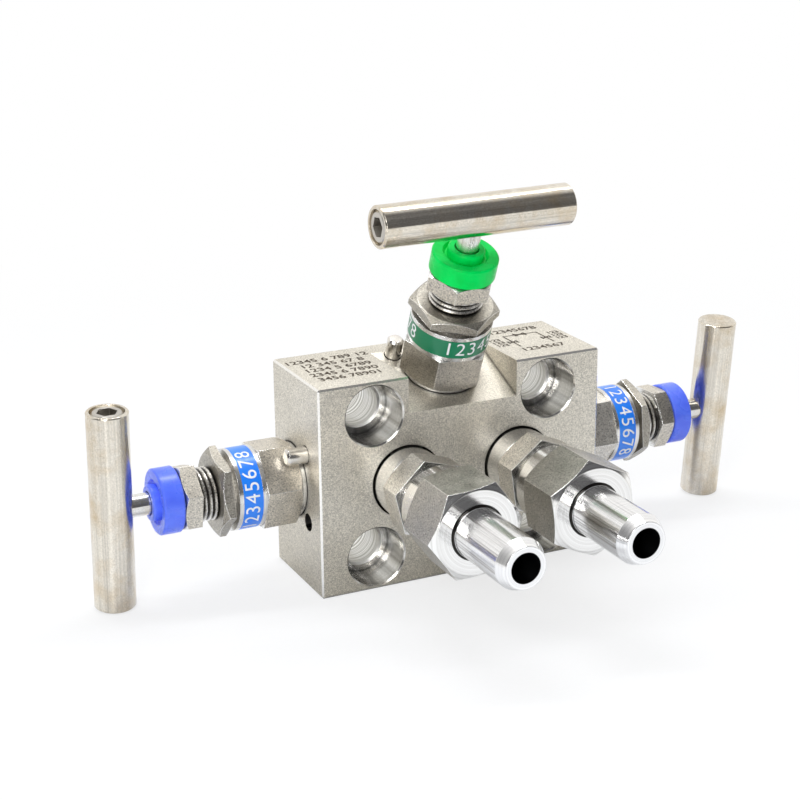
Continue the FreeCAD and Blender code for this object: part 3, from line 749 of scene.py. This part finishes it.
def dress_valve(valve, film_material, cap_material, white):
    """Materials of one valve's nodes."""
    foot, axis = valve_foot(valve)
    bar_foot, bar_axis = handle_line(valve)
    inner = turned_steel(valve + "_inner_steel", foot, axis, INNER_TONE, 0.3)
    materials = {
        # Each bonnet's tone carries painted light and shade
        "bonnet": hexagon_steel(valve + "_bonnet_steel", foot, axis, BONNET_LIT_AND_SHADED_TONES[valve],
                                collar_end=BONNET_COLLAR_END),
        "lock_nut": hexagon_steel(valve + "_lock_nut_steel", foot, axis, LOCK_NUT_TONE,
                                  end_faces=False),
        "gland_nut": hexagon_steel(valve + "_gland_steel", foot, axis, GLAND_TONE,
                                   thread=thread_span()),
        "label_ring": turned_steel(valve + "_ring_steel", foot, axis, RING_TONE, 0.26),
        "label_film": film_material,
        "dust_cap": cap_material,
        "packing": white,
        "packing_washers": inner,
        "bonnet_gasket": inner,
        "needle_tip": inner,
        "stem": drawn_steel(valve + "_stem_steel", foot, axis, STEM_TONE, 0.2, 0.8, 0.6),
        "handle_bar": drawn_steel(valve + "_bar_steel", bar_foot, bar_axis, BAR_TONE, 0.19, 0.85, 0.9),
        "handle_screw": turned_steel(valve + "_screw_steel", bar_foot, bar_axis, SCREW_TONE, 0.3),
    }
    for piece, material in materials.items():
        assign(valve + "_" + piece, material)


def dress_union(side, white):
    """Materials of one union's nodes."""
    low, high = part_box("union_connector_" + side)
    foot = Vector(((low.x + high.x) / 2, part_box("manifold_body")[0].y, (low.z + high.z) / 2))
    connector = hexagon_steel("connector_steel_" + side, foot, PROCESS_WAY, CONNECTOR_TONE,
                              collar_end=CONNECTOR_COLLAR_END, groove=CONNECTOR_GROOVE,
                              neck=CONNECTOR_NECK, polish=0.13)
    nut = hexagon_steel("nut_steel_" + side, foot, PROCESS_WAY, UNION_NUT_TONE,
                        collar_end=UNION_NUT_COLLAR_END, polish=0.13)
    assign("union_connector_" + side, connector)
    assign("union_nut_" + side, nut)
    assign("weld_nipple_" + side, nipple_steel(side))
    assign("union_gasket_" + side, white)


def dress_nodes():
    """Materials of every CAD node."""
    white = polymer()
    assign("manifold_body", block_steel())
    assign("bonnet_lock_pins", plain_steel("pin_steel", PIN_TONE, 0.2))
    assign("instrument_seals", white)
    caps = {colour: cap_plastic(colour + "_plastic", *PLASTICS[colour]) for colour in PLASTICS}
    films = {colour: film(colour + "_film", *FILMS[colour]) for colour in FILMS}
    for valve in VALVES:
        colour = VALVE_COLOURS[valve]
        dress_valve(valve, films[colour], caps[colour], white)
    for side in SIDES:
        dress_union(side, white)


# Pieces


def mesh_piece(name, bm, material, body):
    """New object from a bmesh, riding on a body."""
    mesh = bpy.data.meshes.new(name)
    bm.to_mesh(mesh)
    bm.free()
    mesh.materials.append(material)
    made = bpy.data.objects.new(name, mesh)
    bpy.context.scene.collection.objects.link(made)
    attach(made, body)


def frame_matrix(foot, axis, reference):
    """Matrix with local Z on the axis and local X near the reference."""
    side = (reference - axis * reference.dot(axis)).normalized()
    matrix = Matrix((side, axis.cross(side), axis)).transposed().to_4x4()
    matrix.translation = foot
    return matrix


def round_point(matrix, reach, angle, height):
    """Point at a radius, an angle and a height in a valve's frame."""
    return matrix @ Vector((reach * math.cos(angle), reach * math.sin(angle), height))


def gland_thread(valve):
    """Helical thread ridge between the lock nut and the gland's hexagon."""
    foot, axis = valve_foot(valve)
    start, end = thread_span()
    reference = Vector((1, 0, 0)) if valve == "equalize" else Vector((0, 1, 0))
    matrix = frame_matrix(foot, axis, reference)
    bm = bmesh.new()
    rows = []
    for step in range(int((end - start) / THREAD_PITCH * THREAD_STEPS) + 1):
        angle = 2 * math.pi * step / THREAD_STEPS
        height = start + THREAD_PITCH * step / THREAD_STEPS
        row = []
        for shift, out in THREAD_PROFILE:
            level = min(max(height + shift * THREAD_PITCH, start), end)
            row.append(bm.verts.new(round_point(matrix, THREAD_ROOT + out, angle, level)))
        rows.append(row)
    for first, second in zip(rows, rows[1:]):
        for index in range(len(THREAD_PROFILE) - 1):
            bm.faces.new((first[index], second[index], second[index + 1], first[index + 1]))
    bmesh.ops.recalc_face_normals(bm, faces=bm.faces)
    material = thread_steel(valve, foot, axis)
    mesh_piece(valve + "_gland_thread", bm, material, "block")


def text_bmesh(word, height, weight=0.0):
    """Flat numerals as a bmesh, centred on the origin, made bolder by a weight."""
    curve = bpy.data.curves.new("text", "FONT")
    curve.body = word
    curve.size = height / DIGIT_SHARE
    curve.offset = weight
    curve.align_x = "CENTER"
    curve.align_y = "CENTER"
    holder = bpy.data.objects.new("text", curve)
    mesh = bpy.data.meshes.new_from_object(holder)
    bm = bmesh.new()
    bm.from_mesh(mesh)
    bpy.data.objects.remove(holder)
    bpy.data.curves.remove(curve)
    bpy.data.meshes.remove(mesh)
    return bm


def take_in(joined, part):
    """Add one bmesh to another and free it."""
    piece = bpy.data.meshes.new("part")
    part.to_mesh(piece)
    part.free()
    joined.from_mesh(piece)
    bpy.data.meshes.remove(piece)


def label_numerals(valve, material):
    """Two groups of numerals printed round a label film."""
    foot, axis = valve_foot(valve)
    low, high = span("label_film")
    middle = (low + high) / 2
    reach = radius("label_film") + MARK_LIFT
    reference = Vector((0, -1, 0)) if valve == "equalize" else Vector((0, 0, 1))
    matrix = frame_matrix(foot, axis, reference)
    joined = bmesh.new()
    for group in range(2):
        start = math.radians(LABEL_ANGLES[valve]) + math.pi * group
        for index, figure in enumerate(LABEL_DIGITS):
            shift = (index - (len(LABEL_DIGITS) - 1) / 2) * NUMERAL_PITCH
            digit = text_bmesh(figure, NUMERAL_HEIGHT)
            bmesh.ops.subdivide_edges(digit, edges=digit.edges, cuts=1)
            for vert in digit.verts:
                angle = start + (shift + vert.co.x) / reach
                vert.co = round_point(matrix, reach, angle, middle + vert.co.y)
            take_in(joined, digit)
    mesh_piece(valve + "_label_numerals", joined, material, "block")


def stroke(bm, start, end, height):
    """Flat engraved line between two places on the block's top."""
    way = Vector((end[0] - start[0], end[1] - start[1], 0)).normalized()
    side = Vector((-way.y, way.x, 0)) * LINE_WIDTH / 2
    tail = Vector((start[0], start[1], height)) - way * LINE_WIDTH / 2
    head = Vector((end[0], end[1], height)) + way * LINE_WIDTH / 2
    corners = [bm.verts.new(p) for p in (tail - side, head - side, head + side, tail + side)]
    bm.faces.new(corners)


def valve_symbol(bm, x, y, height, size):
    """Two triangles point to point, the usual sign of a valve."""
    rise = size * SIGN_SLOPE
    stroke(bm, (x - size, y - rise), (x + size, y + rise), height)
    stroke(bm, (x - size, y + rise), (x + size, y - rise), height)
    stroke(bm, (x - size, y - rise), (x - size, y + rise), height)
    stroke(bm, (x + size, y - rise), (x + size, y + rise), height)


def engraved_word(bm, word, size, x, y, height):
    """Numerals on the block's top, centred on a place."""
    part = text_bmesh(word, size, MARK_WEIGHT)
    bmesh.ops.translate(part, verts=part.verts, vec=Vector((x, y, height)))
    take_in(bm, part)


def numeral_rows(bm, height, middle_x):
    """Rows of plain numerals."""
    middle_row = len(MARK_ROWS) // 2
    for index, row in enumerate(MARK_ROWS):
        y = ROW_PITCH * (middle_row - index) + MIDDLE_ROW_Y
        engraved_word(bm, row, ROW_HEIGHT, middle_x, y, height)


def flow_diagram(bm, height, middle_x):
    """Generic diagram of two lines and the valve between them, with plain numerals."""
    left = middle_x - DIAGRAM_HALF_WIDTH
    right = middle_x + DIAGRAM_HALF_WIDTH
    for x in (left, right):
        stroke(bm, (x, DIAGRAM_LOW_Y), (x, DIAGRAM_HIGH_Y), height)
        valve_symbol(bm, x, 0.0, height, LINE_SIGN_SIZE)
    stroke(bm, (left, DIAGRAM_HIGH_Y), (right, DIAGRAM_HIGH_Y), height)
    valve_symbol(bm, middle_x, DIAGRAM_HIGH_Y, height, CROSS_SIGN_SIZE)
    for word, y in DIAGRAM_TITLES:
        engraved_word(bm, word, DIAGRAM_TITLE_HEIGHT, middle_x, y, height)
    for x in (left - SIDE_NUMERALS_GAP, right + SIDE_NUMERALS_GAP):
        for y in SIDE_NUMERALS_Y:
            engraved_word(bm, SIDE_NUMERALS, SIDE_NUMERALS_HEIGHT, x, y, height)


def top_engraving():
    """Marks on both sides of the block's top."""
    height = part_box("manifold_body")[1].z + MARK_LIFT
    bm = bmesh.new()
    numeral_rows(bm, height, -MARKS_X)
    flow_diagram(bm, height, MARKS_X)
    mesh_piece("top_engraving", bm, engraving(), "block")


# Stage


def camera():
    """Camera at the photograph's angle."""
    azimuth = math.radians(CAMERA_AZIMUTH)
    elevation = math.radians(CAMERA_ELEVATION)
    back = Vector((math.sin(azimuth) * math.cos(elevation), -math.cos(azimuth) * math.cos(elevation),
                   math.sin(elevation)))
    right = Vector((math.cos(azimuth), math.sin(azimuth), 0))
    up = back.cross(right)
    rolled = Matrix.Rotation(math.radians(CAMERA_ROLL), 3, back)
    data = bpy.data.cameras.new("camera")
    data.sensor_width = SENSOR_WIDTH
    data.lens = FOCAL_PIXELS / IMAGE_PIXELS * SENSOR_WIDTH
    data.clip_start = CAMERA_NEAREST
    made = bpy.data.objects.new("camera", data)
    matrix = (rolled @ Matrix((right, up, back)).transposed()).to_4x4()
    matrix.translation = CAMERA_TARGET + back * CAMERA_DISTANCE
    made.matrix_world = matrix
    bpy.context.scene.collection.objects.link(made)
    bpy.context.scene.camera = made


def mix_shaders(g, factor, first, second):
    """Shader between two, by a factor."""
    return g.feed_all(g.node("ShaderNodeMixShader"), (factor, first, second))


def studio():
    """World of a photo studio: white behind, a dark room on the camera's side."""
    world = bpy.data.worlds.new("studio")
    bpy.context.scene.world = world
    g = Graph(world, "ShaderNodeOutputWorld")
    azimuth = math.radians(ROOM_AZIMUTH)
    towards = g.vector("DOT_PRODUCT", g.way, (math.sin(azimuth), -math.cos(azimuth), 0))
    room = g.node("ShaderNodeValToRGB")
    g.feed(room.inputs[0], g.split(g.way)[2])
    stops = room.color_ramp.elements
    while len(stops) < len(ROOM_SHADES):
        stops.new(0.5)
    for stop, (place, shade) in zip(stops, ROOM_SHADES):
        stop.position = place
        stop.color = (shade, shade, shade * ROOM_BLUE, 1)
    begun = g.fit(towards, *ROOM_BEGIN, smooth=True)
    lit = g.node("ShaderNodeBackground")
    g.feed(lit.inputs["Color"], g.mix(begun, REST_OF_ROOM, room.outputs["Color"]))
    seen = g.node("ShaderNodeBackground")
    seen.inputs["Color"].default_value = (1, 1, 1, 1)
    path = g.node("ShaderNodeLightPath")
    g.show(mix_shaders(g, path.outputs["Is Camera Ray"], lit.outputs[0], seen.outputs[0]))


def softbox(name, place, size, power):
    """Rectangular area light aimed at the part."""
    data = bpy.data.lights.new(name, "AREA")
    data.shape = "RECTANGLE"
    data.size, data.size_y = size
    data.energy = power
    made = bpy.data.objects.new(name, data)
    turn = (LAMP_TARGET - Vector(place)).to_track_quat("-Z", "Y").to_matrix().to_4x4()
    made.matrix_world = Matrix.Translation(place) @ turn
    bpy.context.scene.collection.objects.link(made)


def floor_paper():
    """Pale paper that keeps a soft shadow and turns white further out."""
    g = material_graph("floor_paper")
    paper = g.node("ShaderNodeBsdfDiffuse")
    g.feed(paper.inputs["Color"], g.mix(g.fit(g.noise(g.place, 800.0, 3.0), 0.3, 0.7), *PAPER_TONES))
    glow = g.node("ShaderNodeEmission")
    glow.inputs["Color"].default_value = (1, 1, 1, 1)
    reach = g.vector("LENGTH", g.place)
    path = g.node("ShaderNodeLightPath").outputs
    glossy = g.math("MAXIMUM", path["Is Glossy Ray"], path["Is Transmission Ray"])
    seen = g.times(path["Is Camera Ray"], g.fit(reach, *SEEN_WHITE, smooth=True))
    mirrored = g.times(glossy, g.fit(reach, *MIRRORED_WHITE, smooth=True))
    share = g.math("MAXIMUM", seen, mirrored)
    return g.show(mix_shaders(g, share, paper.outputs[0], glow.outputs[0]))


def floor():
    """Plain pale floor that fades into the white background."""
    mesh = bpy.data.meshes.new("floor")
    bm = bmesh.new()
    bmesh.ops.create_grid(bm, x_segments=1, y_segments=1, size=FLOOR_SIZE)
    bm.to_mesh(mesh)
    bm.free()
    mesh.materials.append(floor_paper())
    made = bpy.data.objects.new("floor", mesh)
    bpy.context.scene.collection.objects.link(made)


dress_nodes()
white_ink = ink()
for valve in VALVES:
    gland_thread(valve)
    label_numerals(valve, white_ink)
top_engraving()
camera()
studio()
floor()
for name, (place, size, power) in LAMPS.items():
    softbox(name, place, size, power)
bpy.context.scene.view_settings.view_transform = "Standard"
